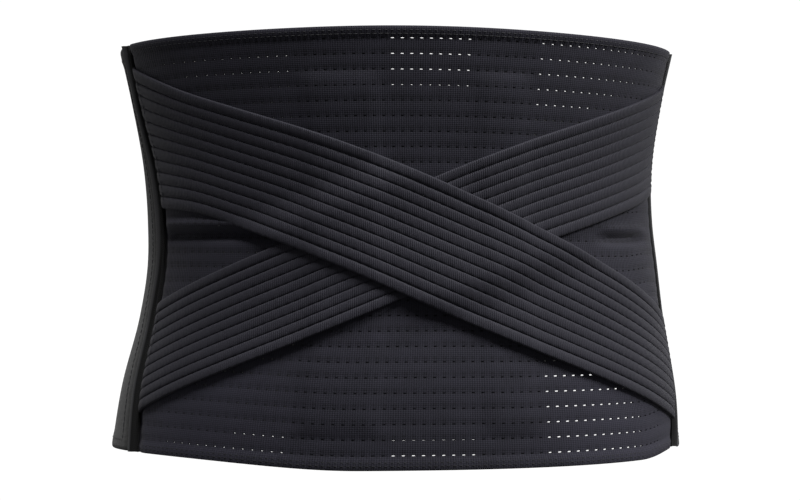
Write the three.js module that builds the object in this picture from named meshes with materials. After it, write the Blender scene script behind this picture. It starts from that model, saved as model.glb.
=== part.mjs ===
// Lumbosacral brace: an elastic back panel under two crossed ribbed straps, closed round the front.
// Millimetres, +Z up. It stands on its lower hem with the back towards -Y.
// A place on it is a turn about the upright axis, in degrees from the middle of the back, and a height.
import * as THREE from "three";

// Driving dimensions of the body form
const HEIGHT = 240;
const SQUARENESS = 2.25;
const SECTIONS = [
  { height: 0, halfWidth: 169.5, halfDepth: 113, sway: -0.5 },
  { height: 40, halfWidth: 164, halfDepth: 109.5, sway: 0.5 },
  { height: 80, halfWidth: 155.5, halfDepth: 104, sway: 2.3 },
  { height: 110, halfWidth: 151.5, halfDepth: 101.5, sway: 2.8 },
  { height: 135, halfWidth: 150, halfDepth: 100, sway: 1.4 },
  { height: 165, halfWidth: 150.8, halfDepth: 101, sway: 0 },
  { height: 205, halfWidth: 157.2, halfDepth: 105, sway: -0.7 },
  { height: 240, halfWidth: 165, halfDepth: 109, sway: -0.7 },
];

// The hems: the upper one falls towards the sides, the lower one lifts a little near the seams
const TOP_FALL = 4.2;
const LIFTS = [
  { height: 5.3, turn: -66, reach: 50 },
  { height: 4.1, turn: 73, reach: 14 },
];

// Turn of the side seams by height; the brace sits a little twisted
const SEAMS = [
  { height: 0, left: 70, right: 72 },
  { height: 15, left: 70.9, right: 74.6 },
  { height: 45, left: 72.4, right: 79.4 },
  { height: 80, left: 73.5, right: 80.5 },
  { height: 125, left: 73.1, right: 80.5 },
  { height: 165, left: 74.7, right: 80.5 },
  { height: 205, left: 77.4, right: 80.5 },
  { height: 240, left: 77.8, right: 80.5 },
];

// Back panel
const PANEL_THICKNESS = 2;
const PANEL_COLUMNS = 36;
const PANEL_ROW_STEPS = 11;
const HEM = { height: 6, step: 0.6, proud: 0.6 };
const CREASE = { height: 130, depth: 3, reach: 8, rows: 3, clear: 11 };
const CREASE_LEFT = { from: 35, to: 50, fade: 68, end: 73 };
const CREASE_RIGHT = { from: 50, to: 58, fade: 66, end: 74 };

// Crossed straps: heights of their edges by turn, as read off the photograph
const OVER_EDGES = [
  { turn: -78, lower: 143, upper: 224 },
  { turn: -70, lower: 142, upper: 216 },
  { turn: -60, lower: 139, upper: 206 },
  { turn: -50, lower: 131.7, upper: 197.8 },
  { turn: -25, lower: 111, upper: 180 },
  { turn: 0, lower: 90, upper: 162 },
  { turn: 25, lower: 69.5, upper: 141 },
  { turn: 50, lower: 46.5, upper: 114.5 },
  { turn: 65, lower: 30.4, upper: 96.5 },
  { turn: 75, lower: 18.5, upper: 83.5 },
  { turn: 81, lower: 10, upper: 75 },
];
const UNDER_EDGES = [
  { turn: -78, lower: 18.5, upper: 82 },
  { turn: -70, lower: 29, upper: 91.2 },
  { turn: -60, lower: 41.4, upper: 102.2 },
  { turn: -50, lower: 52.6, upper: 112.5 },
  { turn: -25, lower: 76.8, upper: 134.8 },
  { turn: 0, lower: 97, upper: 154.4 },
  { turn: 25, lower: 115, upper: 173 },
  { turn: 50, lower: 132.3, upper: 191.7 },
  { turn: 65, lower: 143, upper: 204 },
  { turn: 75, lower: 150, upper: 212.3 },
  { turn: 81, lower: 154, upper: 217.5 },
];
const STRAP = { inset: 0.6, groove: 1.3, crest: 1.9, gap: 0.6, columns: 32, innerRows: 7 };
const OVER_RIBS = 11;
const UNDER_RIBS = 10;
const TENT = { near: 12, far: 26 };

// Rolled piping beside each seam
const PIPING = { from: 0.4, to: 3, columns: 4, rows: 16, low: 0.3, crown: 1.5, depth: 2 };

// Front wings, the taller left one closing over the right one
const WING = { from: 3.3, usualStart: 80, end: 202, columns: 24, rows: 10, thickness: 2.5, proud: 0.5 };
const LEFT_TOP = { height: 228, from: 85, to: 125 };
const LEFT_BOTTOM = { height: 6, from: 150, to: 195 };
const RIGHT_TOP = { height: 206, from: 84, to: 124 };
const RIGHT_BOTTOM = { height: 40, from: 92, to: 120 };
const WING_CORNER = { radius: 22, columns: 4, spread: 100 };
const UNDER_WING = { sink: 4.6, from: 120, to: 150 };

// Closure patch between the wings
const PATCH = { turn: 16, low: 78, high: 166, outer: -2.5, inner: -3.6, columns: 6, rows: 6 };

// Stay pockets and lumbar pad on the inside of the back panel
const POCKET = { low: 6, high: 237, outer: -2.5, inner: -4.6, columns: 6, rows: 13 };
const LEFT_POCKET = { from: -34.1, to: -8.6 };
const RIGHT_POCKET = { from: 16.7, to: 34.1 };
const PAD = { from: -8.2, to: 16.3, low: 16, high: 203, columns: 8, rows: 12 };
const PAD_LIFT = { outer: -2.5, inner: -6.5, edge: -4 };

const WOVEN = { roughness: 0.9, metalness: 0 };
const COLOURS = {
  panel: 0x26252b,
  strap: 0x2d2c32,
  piping: 0x1d1c21,
  wing: 0x333334,
  inside: 0x1f1f22,
};

const { clamp, lerp, smoothstep, degToRad, radToDeg } = THREE.MathUtils;

// Evenly spaced numbers from one value to another, both included
function spread(from, to, steps) {
  return Array.from({ length: steps + 1 }, (_, index) => lerp(from, to, index / steps));
}

// Slope of a table's column at one row, from the rows on both sides
function slopeAt(rows, key, column, index) {
  const before = rows[Math.max(index - 1, 0)];
  const here = rows[index];
  const after = rows[Math.min(index + 1, rows.length - 1)];
  const gapBefore = here[key] - before[key];
  const gapAfter = after[key] - here[key];
  if (gapBefore === 0) return (after[column] - here[column]) / gapAfter;
  if (gapAfter === 0) return (here[column] - before[column]) / gapBefore;
  const slopeBefore = (here[column] - before[column]) / gapBefore;
  const slopeAfter = (after[column] - here[column]) / gapAfter;
  return (slopeBefore * gapAfter + slopeAfter * gapBefore) / (gapBefore + gapAfter);
}

// Smooth reading of a table's column between its rows
function smooth(rows, key, column, at) {
  const inside = clamp(at, rows[0][key], rows[rows.length - 1][key]);
  const last = rows.length - 2;
  const index = Math.min(rows.findLastIndex((row) => row[key] <= inside), last);
  const low = rows[index];
  const high = rows[index + 1];
  const gap = high[key] - low[key];
  const t = (inside - low[key]) / gap;
  const start = slopeAt(rows, key, column, index) * gap;
  const end = slopeAt(rows, key, column, index + 1) * gap;
  const rise = high[column] - low[column];
  return low[column] + t * (start + t * (3 * rise - 2 * start - end + t * (start + end - 2 * rise)));
}

// Point of the body form, lifted off it outwards
function skin(turn, height, lift) {
  const angle = degToRad(turn);
  const halfWidth = smooth(SECTIONS, "height", "halfWidth", height) + lift;
  const halfDepth = smooth(SECTIONS, "height", "halfDepth", height) + lift;
  const sway = smooth(SECTIONS, "height", "sway", height);
  const across = Math.abs(Math.sin(angle) / halfWidth) ** SQUARENESS;
  const deep = Math.abs(Math.cos(angle) / halfDepth) ** SQUARENESS;
  const radius = (across + deep) ** (-1 / SQUARENESS);
  return new THREE.Vector3(radius * Math.sin(angle) + sway, -radius * Math.cos(angle), height);
}

function topHem(turn) {
  return HEIGHT - TOP_FALL * Math.sin(degToRad(turn)) ** 2;
}

function bottomHem(turn) {
  const lifts = LIFTS.map((lift) => {
    const away = clamp((turn - lift.turn) / lift.reach, -1, 1);
    return lift.height * Math.cos((away * Math.PI) / 2) ** 2;
  });
  return Math.max(...lifts);
}

// Turn of a side seam, without its sign; side is -1 for the left one, 1 for the right one
function seamTurn(side, height) {
  return smooth(SEAMS, "height", side < 0 ? "left" : "right", height);
}

// Triangles that close the gap between two lists of points up one end of a shell
function zip(outer, inner, outerRows, innerRows, facesBack) {
  const triangles = [];
  let o = 0;
  let n = 0;
  while (o < outer.length - 1 || n < inner.length - 1) {
    const outerIsNext = o < outer.length - 1 && outerRows[o + 1] <= innerRows[n + 1];
    const stepOuter = n === inner.length - 1 || outerIsNext;
    const triangle = stepOuter ? [outer[o], outer[o + 1], inner[n]] : [outer[o], inner[n + 1], inner[n]];
    triangles.push(...(facesBack ? triangle : triangle.reverse()));
    if (stepOuter) o += 1;
    else n += 1;
  }
  return triangles;
}

// Closed wall: a grid of columns and rows laid on the body form, with an outer and an inner face.
// Columns run with rising turn, rows upwards; place gives each grid point's turn and height.
function shell({ columns, outerRows, innerRows = outerRows, place, outer, inner }) {
  const points = [];
  const grid = (rows, lift) =>
    columns.map((column) =>
      rows.map((row) => {
        const { turn, height } = place(column, row);
        points.push(skin(turn, height, lift(turn, height, row, column)));
        return points.length - 1;
      }),
    );
  const outerGrid = grid(outerRows, outer);
  const innerGrid = grid(innerRows, inner);
  const index = [];
  const lastOuter = outerRows.length - 1;
  const lastInner = innerRows.length - 1;
  for (let c = 0; c < columns.length - 1; c += 1) {
    const [o, p] = [outerGrid[c], outerGrid[c + 1]];
    const [n, m] = [innerGrid[c], innerGrid[c + 1]];
    for (let r = 0; r < lastOuter; r += 1) {
      index.push(o[r], p[r], p[r + 1], o[r], p[r + 1], o[r + 1]);
    }
    for (let r = 0; r < lastInner; r += 1) {
      index.push(n[r], m[r + 1], m[r], n[r], n[r + 1], m[r + 1]);
    }
    index.push(o[0], n[0], p[0], p[0], n[0], m[0]);
    index.push(o[lastOuter], p[lastOuter], n[lastInner], p[lastOuter], m[lastInner], n[lastInner]);
  }
  index.push(...zip(outerGrid[0], innerGrid[0], outerRows, innerRows, true));
  index.push(...zip(outerGrid.at(-1), innerGrid.at(-1), outerRows, innerRows, false));
  const geometry = new THREE.BufferGeometry().setFromPoints(points);
  geometry.setIndex(index);
  geometry.computeVertexNormals();
  return geometry;
}

function piece(name, colour, geometry) {
  const mesh = new THREE.Mesh(geometry, new THREE.MeshStandardMaterial({ color: colour, ...WOVEN }));
  mesh.name = name;
  return mesh;
}

// How far the waist crease pulls the panel in, towards the sides only
function crease(turn, height) {
  const away = clamp((height - CREASE.height) / CREASE.reach, -1, 1);
  const side = turn < 0 ? CREASE_LEFT : CREASE_RIGHT;
  const start = smoothstep(Math.abs(turn), side.from, side.to);
  const end = 1 - smoothstep(Math.abs(turn), side.fade, side.end);
  return CREASE.depth * start * end * Math.cos((away * Math.PI) / 2) ** 2;
}

// Elastic panel between the side seams, with a folded hem along both edges
function backPanel() {
  const foldRows = [0, HEM.height - HEM.step];
  const creaseRows = spread(CREASE.height - CREASE.reach, CREASE.height + CREASE.reach, CREASE.rows + 1);
  const plainRows = spread(HEM.height, HEIGHT - HEM.height, PANEL_ROW_STEPS);
  const clear = plainRows.filter((height) => Math.abs(height - CREASE.height) > CREASE.clear);
  const heights = [...foldRows, ...clear, ...creaseRows, ...foldRows.map((height) => HEIGHT - height)];
  const rows = heights.sort((a, b) => a - b).map((height) => height / HEIGHT);
  const inHem = (row) => Math.min(row, 1 - row) * HEIGHT < HEM.height - HEM.step / 2;
  return shell({
    columns: spread(-1, 1, PANEL_COLUMNS),
    outerRows: rows,
    place: (column, row) => {
      const turn = column * seamTurn(Math.sign(column), row * HEIGHT);
      return { turn, height: lerp(bottomHem(turn), topHem(turn), row) };
    },
    outer: (turn, height, row) => (inHem(row) ? HEM.proud : 0) - crease(turn, height),
    inner: (turn, height) => -PANEL_THICKNESS - crease(turn, height),
  });
}

// Height across a strap, from its lower edge at 0 to its upper edge at 1
function strapHeight(edges, turn, row) {
  return lerp(smooth(edges, "turn", "lower", turn), smooth(edges, "turn", "upper", turn), row);
}

// Ribbed elastic strap from seam to seam
function strap(edges, ribs, base) {
  const ribRows = spread(0, 1, ribs * 2);
  const isCrest = (row) => Math.round(row * ribs * 2) % 2 === 1;
  return shell({
    columns: spread(-1, 1, STRAP.columns),
    outerRows: ribRows,
    innerRows: spread(0, 1, STRAP.innerRows),
    place: (column, row) => {
      const end = Math.sign(column);
      const nearSeam = strapHeight(edges, column * seamTurn(end, HEIGHT / 2), row);
      const turn = column * (seamTurn(end, nearSeam) - STRAP.inset);
      return { turn, height: strapHeight(edges, turn, row) };
    },
    outer: (turn, height, row) => base(turn, height) + (isCrest(row) ? STRAP.crest : STRAP.groove),
    inner: (turn, height) => base(turn, height),
  });
}

// Lift of the upper strap's underside: it rides over the strap beneath it where they cross
function overBase(turn, height) {
  const below = strapHeight(UNDER_EDGES, turn, 0) - height;
  const above = height - strapHeight(UNDER_EDGES, turn, 1);
  const beyond = Math.max(below, above);
  const climb = 1 - smoothstep(beyond, TENT.near, TENT.far);
  return STRAP.gap + climb * (STRAP.crest + STRAP.gap);
}

// Rolled piping sewn down beside a side seam
function seamPiping(side) {
  const edges = [side * PIPING.from, side * PIPING.to].sort((a, b) => a - b);
  const middle = (edges[0] + edges[1]) / 2;
  const half = (edges[1] - edges[0]) / 2;
  return shell({
    columns: spread(edges[0], edges[1], PIPING.columns),
    outerRows: spread(0, 1, PIPING.rows),
    place: (column, row) => {
      const turn = side * seamTurn(side, row * HEIGHT) + column;
      return { turn, height: lerp(bottomHem(turn), topHem(turn), row) };
    },
    outer: (turn, height, row, column) => {
      const across = Math.abs(column - middle) / half;
      return PIPING.low + PIPING.crown * Math.cos((across * Math.PI) / 2);
    },
    inner: () => -PIPING.depth,
  });
}

// Rounding of a wing's free corners: how far the edge draws in, by the distance from the wing's end
function cornerDraw(turn) {
  const fromEnd = degToRad(WING.end - Math.abs(turn)) * WING_CORNER.spread;
  const into = clamp(WING_CORNER.radius - fromEnd, 0, WING_CORNER.radius);
  return WING_CORNER.radius - Math.sqrt(WING_CORNER.radius ** 2 - into ** 2);
}

function wingTop(side, turn) {
  const front = side < 0 ? LEFT_TOP : RIGHT_TOP;
  const fall = smoothstep(Math.abs(turn), front.from, front.to);
  return lerp(HEIGHT - TOP_FALL, front.height, fall) - cornerDraw(turn);
}

function wingBottom(side, turn) {
  const front = side < 0 ? LEFT_BOTTOM : RIGHT_BOTTOM;
  const rise = smoothstep(Math.abs(turn), front.from, front.to);
  return bottomHem(turn) + front.height * rise + cornerDraw(turn);
}

// Plain wing from a side seam round to the front
function wing(side, sink) {
  const cornerTurn = radToDeg(WING_CORNER.radius / WING_CORNER.spread);
  const roundFrom = 1 - cornerTurn / (WING.end - WING.usualStart);
  const plain = spread(0, roundFrom, WING.columns);
  const angles = spread(0, Math.PI / 2, WING_CORNER.columns);
  const round = angles.map((angle) => lerp(roundFrom, 1, Math.sin(angle)));
  const shares = [...plain, ...round.slice(1)];
  return shell({
    columns: side < 0 ? shares.reverse() : shares,
    outerRows: spread(0, 1, WING.rows),
    place: (share, row) => {
      const start = seamTurn(side, row * HEIGHT) + WING.from;
      const turn = side * lerp(start, WING.end, share);
      return { turn, height: lerp(wingBottom(side, turn), wingTop(side, turn), row) };
    },
    outer: (turn) => WING.proud - sink(turn),
    inner: (turn) => WING.proud - WING.thickness - sink(turn),
  });
}

function underWingSink(turn) {
  return UNDER_WING.sink * smoothstep(Math.abs(turn), UNDER_WING.from, UNDER_WING.to);
}

// Hook-and-loop patch that holds the wings together at the middle of the front
function closurePatch() {
  return shell({
    columns: spread(180 - PATCH.turn, 180 + PATCH.turn, PATCH.columns),
    outerRows: spread(0, 1, PATCH.rows),
    place: (turn, row) => ({ turn, height: lerp(PATCH.low, PATCH.high, row) }),
    outer: () => PATCH.outer,
    inner: () => PATCH.inner,
  });
}

// Upright pocket for a flat stay, one on each side of the spine
function stayPocket(edges) {
  return shell({
    columns: spread(edges.from, edges.to, POCKET.columns),
    outerRows: spread(0, 1, POCKET.rows),
    place: (turn, row) => ({ turn, height: lerp(POCKET.low, POCKET.high, row) }),
    outer: () => POCKET.outer,
    inner: () => POCKET.inner,
  });
}

// Soft pad over the spine between the two pockets, thinner at its edges
function lumbarPad() {
  return shell({
    columns: spread(PAD.from, PAD.to, PAD.columns),
    outerRows: spread(0, 1, PAD.rows),
    place: (turn, row) => ({ turn, height: lerp(PAD.low, PAD.high, row) }),
    outer: () => PAD_LIFT.outer,
    inner: (turn, height, row) => {
      const across = Math.sin(((turn - PAD.from) / (PAD.to - PAD.from)) * Math.PI);
      const along = Math.sin(row * Math.PI);
      return lerp(PAD_LIFT.edge, PAD_LIFT.inner, Math.sqrt(Math.abs(across * along)));
    },
  });
}

const brace = new THREE.Group();
brace.add(
  piece("back_panel", COLOURS.panel, backPanel()),
  piece("cross_strap_under", COLOURS.strap, strap(UNDER_EDGES, UNDER_RIBS, () => STRAP.gap)),
  piece("cross_strap_over", COLOURS.strap, strap(OVER_EDGES, OVER_RIBS, overBase)),
  piece("left_seam_piping", COLOURS.piping, seamPiping(-1)),
  piece("right_seam_piping", COLOURS.piping, seamPiping(1)),
  piece("left_wing", COLOURS.wing, wing(-1, () => 0)),
  piece("right_wing", COLOURS.wing, wing(1, underWingSink)),
  piece("closure_patch", COLOURS.inside, closurePatch()),
  piece("left_stay_pocket", COLOURS.inside, stayPocket(LEFT_POCKET)),
  piece("right_stay_pocket", COLOURS.inside, stayPocket(RIGHT_POCKET)),
  piece("lumbar_pad", COLOURS.inside, lumbarPad()),
);

// The origin lies under the middle of the brace, on the surface that it stands on
const middle = new THREE.Box3().setFromObject(brace).getCenter(new THREE.Vector3());
brace.position.set(-middle.x, -middle.y, 0);

export default brace;
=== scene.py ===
"""Looks of the lumbosacral brace, in metres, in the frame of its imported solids.

The cloth pieces are laid on the same body form as the solids. A place on that form is a turn about the
upright axis, in degrees from the middle of the back, a height and a lift outwards, both in millimetres.
"""

import math

import bpy
import numpy as np
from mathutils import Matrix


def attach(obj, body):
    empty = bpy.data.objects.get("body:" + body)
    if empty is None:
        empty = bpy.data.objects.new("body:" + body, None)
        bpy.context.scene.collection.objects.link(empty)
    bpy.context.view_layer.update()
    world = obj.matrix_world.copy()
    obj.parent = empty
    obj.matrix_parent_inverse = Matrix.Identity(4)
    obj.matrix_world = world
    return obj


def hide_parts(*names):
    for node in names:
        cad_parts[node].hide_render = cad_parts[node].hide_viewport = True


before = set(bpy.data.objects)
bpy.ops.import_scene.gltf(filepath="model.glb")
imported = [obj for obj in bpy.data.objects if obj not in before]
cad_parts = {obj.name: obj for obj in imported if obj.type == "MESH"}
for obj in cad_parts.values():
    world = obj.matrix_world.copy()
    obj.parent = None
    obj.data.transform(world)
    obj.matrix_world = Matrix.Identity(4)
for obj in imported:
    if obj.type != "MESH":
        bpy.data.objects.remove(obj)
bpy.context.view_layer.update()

MM = 0.001
CRISP_ANGLE = 48.0  # edges bent more than this are drawn crisp
LEFT, RIGHT = -1, 1

# Body form, as the solids have it
HEIGHT = 240.0
SQUARENESS = 2.25
AXIS = (0.227, 0.233)  # from the origin to the form's upright axis
SECTIONS = np.array([  # height, half width, half depth, sway
    (0.0, 169.5, 113.0, -0.5),
    (40.0, 164.0, 109.5, 0.5),
    (80.0, 155.5, 104.0, 2.3),
    (110.0, 151.5, 101.5, 2.8),
    (135.0, 150.0, 100.0, 1.4),
    (165.0, 150.8, 101.0, 0.0),
    (205.0, 157.2, 105.0, -0.7),
    (240.0, 165.0, 109.0, -0.7),
])
TOP_FALL = 4.2
LIFTS = ((5.3, -66.0, 50.0), (4.1, 73.0, 14.0))  # height, turn, reach
SEAMS = np.array([  # height, turn of the left seam, turn of the right seam
    (0.0, 70.0, 72.0),
    (15.0, 70.9, 74.6),
    (45.0, 72.4, 79.4),
    (80.0, 73.5, 80.5),
    (125.0, 73.1, 80.5),
    (165.0, 74.7, 80.5),
    (205.0, 77.4, 80.5),
    (240.0, 77.8, 80.5),
])
MM_PER_DEGREE = 2.7  # along the cloth near the sides

# Back panel and its pinholes
PANEL_THICKNESS = 2.0
COLUMNS_LEFT, COLUMNS_RIGHT, HOLE_ROWS = 32, 35, 28
EVEN_TURN = 72.6  # turn that the left columns share evenly
STRETCH, STRETCH_FROM = 0.07, 0.42  # wider columns towards the right
SEAM_PULL_FROM = 0.66  # share of the columns from which the seams pull them
PLAIN_LEFT, PLAIN_RIGHT = 5, 6  # columns without pinholes beside the seams
FIELD_LOW, FIELD_HIGH = 3.8, 237.6  # levels between which the rows of pinholes lie
HOLE_PITCH, ROW_PITCH = 5.4, (FIELD_HIGH - FIELD_LOW) / HOLE_ROWS
HOLE_WIDTH, HOLE_HEIGHT = 0.165, 0.03  # half sizes, as shares of the pitch
HOLE_CHANGES = (  # turns at both sides, levels below and above, change of the pinholes' size there
    (-80.0, -32.5, -10.0, 120.0, -0.25),
    (-80.0, -32.5, 120.0, 250.0, -0.45),
    (-8.0, 16.0, 198.0, 212.0, -0.5),
    (35.0, 80.0, -10.0, 60.0, 0.35),
)
CHANGE_TURNS, CHANGE_LEVELS = 3.5, 8.0  # softness of these places' borders
TOP_ROW_FROM = -29.0  # the highest row of pinholes starts at this turn
HOLE_ROUNDNESS = 0.7  # 1 makes an ellipse, and less makes it squarer
CELL_SIDES = 4  # grid steps along each side of a pinhole's cell
HOLE_SINK_OUTER, HOLE_SINK_INNER = 0.15, 1.05  # depth of the pinholes' rims below both faces
BAND_RISE = 0.12  # soft waves between the rows of pinholes
HEM_PROUD, HEM_FROM, HEM_TO = 0.6, 4.2, 5.4  # rise of the folded hems, and levels where they end
HEM_ROUND, HEM_SINK = 0.9, 0.7  # height and depth of the hems' rounded edges
HEM_LEVELS = (0.0, 0.15, 0.6, 1.5, 2.6)  # grid lines in the lower hem
UPPER_HEM_LEVELS = 3  # the upper hem has only so many of them
SEAM_TUCK, SEAM_TUCK_REACH = 2.4, 7.0
CREASES = (  # side, height, depth, reach, ridge above it, turns where it starts, is full, fades and ends
    (LEFT, 127.5, 3.2, 5.5, 2.4, 34.0, 50.0, 69.0, 73.5),
    (RIGHT, 125.5, 2.2, 5.0, 1.2, 50.0, 58.0, 66.0, 74.0),
)
CREASE_PLAIN = 10.0  # height beside a crease without pinholes
STAYS = ((-31.5, -11.5), (19.0, 31.8))  # turns of both edges
STAY_LOW, STAY_HIGH, STAY_RISE = 21.0, 213.0, 0.9
STAY_SOFT, STAY_END = 3.0, 4.0  # softness of the swell at its sides and ends

# Pattern of the panel's knit
WALES, COURSES = 4, 8  # in each pinhole's cell
DASH_PLACE, DASH_SHARPNESS, PAINTED_DASH_SHADE_TONE = 0.75, 12.0, -0.3  # painted shade in dashes above the pinholes
ROW_SHARPNESS, ROW_TONE = 30.0, -0.12  # dark line along each row of pinholes
HALO_SHARPNESS, PAINTED_HOLE_SHADE_TONE = 3.0, -0.6  # painted shade round each pinhole
PAINTED_LIGHT_ACROSS, PAINTED_LIGHT_UP = (50.0, 115.0), (95.0, 30.0)  # distances over which painted light makes the panel lighter towards the lower sides
# strength of the painted light towards the lower sides
PAINTED_LIGHT_TONE = 0.42

# Crossed straps
OVER_EDGES = np.array([  # turn, height of the lower edge, height of the upper edge
    (-78.0, 143.0, 224.0),
    (-70.0, 142.0, 216.0),
    (-60.0, 139.0, 206.0),
    (-50.0, 131.7, 197.8),
    (-25.0, 111.0, 180.0),
    (0.0, 90.0, 162.0),
    (25.0, 69.5, 141.0),
    (50.0, 46.5, 114.5),
    (65.0, 30.4, 96.5),
    (75.0, 18.5, 83.5),
    (81.0, 10.0, 75.0),
])
UNDER_EDGES = np.array([  # turn, height of the lower edge, height of the upper edge
    (-78.0, 18.5, 82.0),
    (-70.0, 29.0, 91.2),
    (-60.0, 41.4, 102.2),
    (-50.0, 52.6, 112.5),
    (-25.0, 76.8, 134.8),
    (0.0, 97.0, 154.4),
    (25.0, 115.0, 173.0),
    (50.0, 132.3, 191.7),
    (65.0, 143.0, 204.0),
    (75.0, 150.0, 212.3),
    (81.0, 154.0, 217.5),
])
STRAP_INSET = 0.1  # turn left free beside a seam
OVER_WIDTH, OVER_RIBS = 66.0, 11
UNDER_WIDTH, UNDER_RIBS = 55.0, 10
RIB_SAMPLES = (0.0, 0.05, 0.13, 0.26, 0.5, 0.74, 0.87, 0.95)  # places across one rib
STRAP_COLUMNS = 480
STRAP_GAP = 0.35  # lift of a strap's inner face
STRAP_GROOVE, STRAP_CREST = 1.3, 1.9  # thickness in the grooves and on the ribs
RIB_FULLNESS = 0.4  # power of the ribs' rounding
EDGE_GROOVE = 0.35  # more depth in the groove beside each edge, as a share of the ribs' rise
PIT_PITCH, PIT_DEPTH = 5.6, 0.35  # pits along the grooves, and their depth as such a share
FADE, FADE_RISE, FADE_FROM, FADE_TO = 0.6, 0.75, 60.0, 78.0  # the ribs flatten between these turns
LOOSE_EDGE = 1.5  # lift of the loosest place of a lower edge
OVER_LOOSE, UNDER_LOOSE = (28.0, 50.0), (-38.0, 45.0)  # turn of the loosest place, reach
TENT_NEAR, TENT_FAR = 3.0, 26.0  # distances from the under strap over which the other one comes down

# Piping, wings, closure, pockets and pad
PIPING_FROM, PIPING_TO = 0.4, 3.0  # turns beyond the seam
PIPING_WIDTH = (PIPING_TO - PIPING_FROM) * MM_PER_DEGREE
PIPING_COLUMNS, PIPING_ROWS = 26, 160
PIPING_LOW, PIPING_CROWN, PIPING_DEPTH = -0.6, 2.3, 2.0
PANEL_UNDER, WING_UNDER = 1.2, 1.9  # turns beyond the seam where both sewn edges end under the piping
FOLD_SHARE, FOLD_SINK = 0.32, 0.8  # sunk fold beside the roll, by the panel, with painted shade on it
SHADE_RISE, SHADE_TOP = 1.1, 140.0  # the painted shade goes so far up the roll at the lower hem, and ends here
SHADE_STEEPNESS, TWILL_CHANGE = 1.5, 0.37  # border of the painted shade, and change of tone across the twill
WING_END = 202.0  # turn of a wing's rounded end
WING_WIDE, WING_CORNER = 0.03, 0.88  # shares round a wing where its lines grow wide and close again
WING_LINES = (10, 120, 30)  # lines before, between and after these shares
WING_TUCK, WING_TUCK_FROM, WING_TUCK_TO = 2.7, 2.9, 5.0  # under the piping, up to these turns
WING_THICKNESS, WING_PROUD = 2.5, 0.5
WING_EDGE = 0.15  # share of the thickness that is left at the edges
WING_ROUND_UP, WING_ROUND_END = 0.012, 0.008  # rounded edges, as shares of the height and the length
WING_TOPS = {LEFT: (228.0, 85.0, 125.0), RIGHT: (206.0, 84.0, 124.0)}  # height, from, to
WING_BOTTOMS = {LEFT: (6.0, 150.0, 195.0), RIGHT: (40.0, 92.0, 120.0)}  # rise, from, to
CORNER_RADIUS, CORNER_SPREAD = 22.0, 100.0  # the spread is about the form's radius there
SINK, SINK_FROM, SINK_TO = 4.6, 120.0, 150.0
WING_HEM, WING_HEM_STEP, WING_HEM_PROUD = 8.0, 1.0, 0.3
PATCH_TURN, PATCH_LOW, PATCH_HIGH = 16.0, 78.0, 166.0
PATCH_OUTER, PATCH_INNER = -2.5, -3.6
POCKETS = {LEFT: (-34.1, -8.6), RIGHT: (16.7, 34.1)}  # turns of both edges
POCKET_LOW, POCKET_HIGH = 6.0, 237.0
POCKET_OUTER, POCKET_INNER, POCKET_FLANGE = -2.5, -4.6, -3.3
POCKET_ACROSS, POCKET_UP = (0.12, 0.88, 0.05), (0.03, 0.97, 0.012)  # swell's start, end, softness
PAD_FROM, PAD_TO, PAD_LOW, PAD_HIGH = -8.2, 16.3, 16.0, 203.0
PAD_OUTER, PAD_INNER, PAD_EDGE = -2.5, -6.5, -3.5
PAD_ACROSS, PAD_UP = 0.3, 0.06  # shares over which the crown rises

# Grids with close lines at their edges: lines between the edges, steps in each edge, share of an edge
WING_UP_GRID = (60, 5, WING_ROUND_UP)
PATCH_GRID = (24, 3, 0.02)
POCKET_ACROSS_GRID, POCKET_UP_GRID = (40, 3, 0.03), (80, 3, 0.006)
PAD_ACROSS_GRID, PAD_UP_GRID = (40, 4, 0.03), (80, 4, 0.01)

# Sewing
STITCH_PITCH, STITCH_LENGTH, THREAD = 3.4, 2.5, 0.2
STITCH_RISE = (-0.3, 0.0, 0.08, 0.0, -0.3)  # lift of the thread along one stitch
THREAD_SIDES = 5
HEM_LINES = (2.4, 4.4, HEIGHT - 4.4, HEIGHT - 2.4)  # levels on the panel
HEM_LINE_END = 0.985  # share of the way to the seams
WING_SEAM_LINE, WING_SEAM_ENDS = 0.032, (0.02, 0.98)  # share round the wing, shares up
WING_HEM_ENDS, WING_FRONT_ENDS = (0.03, 0.97), (0.1, 0.9)  # shares round the wing, shares up
WING_LINE_INSET = WING_HEM - 2.0
STRAP_LINES, STRAP_LINE_ENDS = (-0.985, -0.965, 0.965, 0.985), (0.03, 0.97)  # shares along and across
STRAP_LINE_SINK = 0.1
POCKET_LINES, POCKET_LINE_INSET = (0.06, 0.94), 3.0  # shares across, and the distance from both ends
HEM_POINTS, WING_SIDE_POINTS, WING_HEM_POINTS = 500, 400, 600  # points along a line
STRAP_POINTS, POCKET_POINTS = 200, 300

# The photograph's camera
VIEW_TURN = -6.0
VIEW_DISTANCE, VIEW_HEIGHT, VIEW_ASIDE = 1056.0, 118.7, 1.4
FOCAL_PIXELS, PICTURE_WIDTH, SENSOR = 1755.0, 800, 36.0

# Light round the brace: place from straight below to straight above, and level
SKY = ((0.0, 0.45), (0.25, 0.45), (0.41, 1.0), (0.6, 1.0), (0.68, 0.12), (0.82, 0.12), (0.93, 1.0))
SKY_STRENGTH = 1.06
NEAR_LEVEL, NEAR_FROM, NEAR_TO = 0.3, -0.3, 0.55  # on the camera's side, and its soft border


def smooth(table, column, at):
    """Smooth reading of a table's column between its rows; the first column is the key."""
    keys, values = table[:, 0], table[:, column]
    gaps = np.diff(keys)
    rises = np.diff(values) / gaps
    slopes = np.empty_like(values)
    slopes[0], slopes[-1] = rises[0], rises[-1]
    slopes[1:-1] = (rises[:-1] * gaps[1:] + rises[1:] * gaps[:-1]) / (gaps[:-1] + gaps[1:])
    at = np.clip(at, keys[0], keys[-1])
    k = np.clip(np.searchsorted(keys, at, side="right") - 1, 0, len(gaps) - 1)
    t = (at - keys[k]) / gaps[k]
    start, end, rise = slopes[k] * gaps[k], slopes[k + 1] * gaps[k], values[k + 1] - values[k]
    return values[k] + t * (start + t * (3 * rise - 2 * start - end + t * (start + end - 2 * rise)))


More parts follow.
